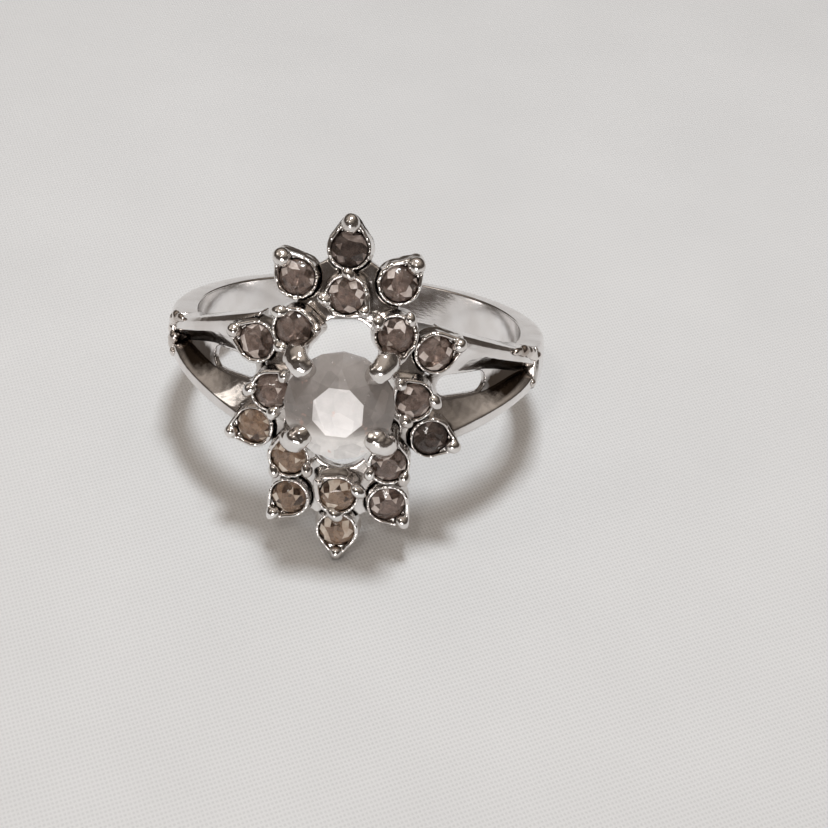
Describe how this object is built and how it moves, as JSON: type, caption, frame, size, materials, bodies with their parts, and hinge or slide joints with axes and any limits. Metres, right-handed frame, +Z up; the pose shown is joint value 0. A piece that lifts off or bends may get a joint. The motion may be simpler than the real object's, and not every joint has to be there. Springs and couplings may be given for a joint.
{
  "type": "cocktail ring",
  "caption": "Finger ring with a star-shaped cluster of small smoky stones in pear-shaped cups round a clear centre stone, on split shoulders and a plain band.",
  "frame": {"origin": "centre of the finger hole, on its axis and midway across the plain band", "axes": "the ring lies on its side: +Z up from the table, +X across the ring, +Y from the head towards the back of the band"},
  "size_m": [0.0212, 0.0225, 0.0173],
  "materials": {
    "band_metal": "polished rhodium-look plating, worn and finely scratched",
    "head_metal": "polished silver-tone casting, darker in its recesses",
    "solder": "bright lumpy solder",
    "smoky_stone": "foil-backed faceted smoky grey-brown glass",
    "clear_stone": "clear, slightly milky faceted glass",
    "cement": "dark set cement"
  },
  "bodies": {
    "root": {"centre_stone": "clear_stone", "claw_lower_left": "head_metal", "claw_lower_right": "head_metal", "claw_upper_left": "head_metal", "claw_upper_right": "head_metal", "cup_inner_bottom": "head_metal", "cup_inner_left": "head_metal", "cup_inner_lower_left": "head_metal", "cup_inner_lower_right": "head_metal", "cup_inner_right": "head_metal", "cup_inner_top": "head_metal", "cup_inner_upper_left": "head_metal", "cup_inner_upper_right": "head_metal", "cup_outer_bottom": "head_metal", "cup_outer_left_lower": "head_metal", "cup_outer_left_upper": "head_metal", "cup_outer_lower_left": "head_metal", "cup_outer_lower_right": "head_metal", "cup_outer_right_lower": "head_metal", "cup_outer_right_upper": "head_metal", "cup_outer_top": "head_metal", "cup_outer_upper_left": "head_metal", "cup_outer_upper_right": "head_metal", "head_plate": "head_metal", "plain_band": "band_metal", "seat_cement": "cement", "shoulder_left": "band_metal", "shoulder_right": "band_metal", "solder_left": "solder", "solder_right": "solder", "stone_inner_bottom": "smoky_stone", "stone_inner_left": "smoky_stone", "stone_inner_lower_left": "smoky_stone", "stone_inner_lower_right": "smoky_stone", "stone_inner_right": "smoky_stone", "stone_inner_top": "smoky_stone", "stone_inner_upper_left": "smoky_stone", "stone_inner_upper_right": "smoky_stone", "stone_outer_bottom": "smoky_stone", "stone_outer_left_lower": "smoky_stone", "stone_outer_left_upper": "smoky_stone", "stone_outer_lower_left": "smoky_stone", "stone_outer_lower_right": "smoky_stone", "stone_outer_right_lower": "smoky_stone", "stone_outer_right_upper": "smoky_stone", "stone_outer_top": "smoky_stone", "stone_outer_upper_left": "smoky_stone", "stone_outer_upper_right": "smoky_stone"}
  },
  "joints": []
}
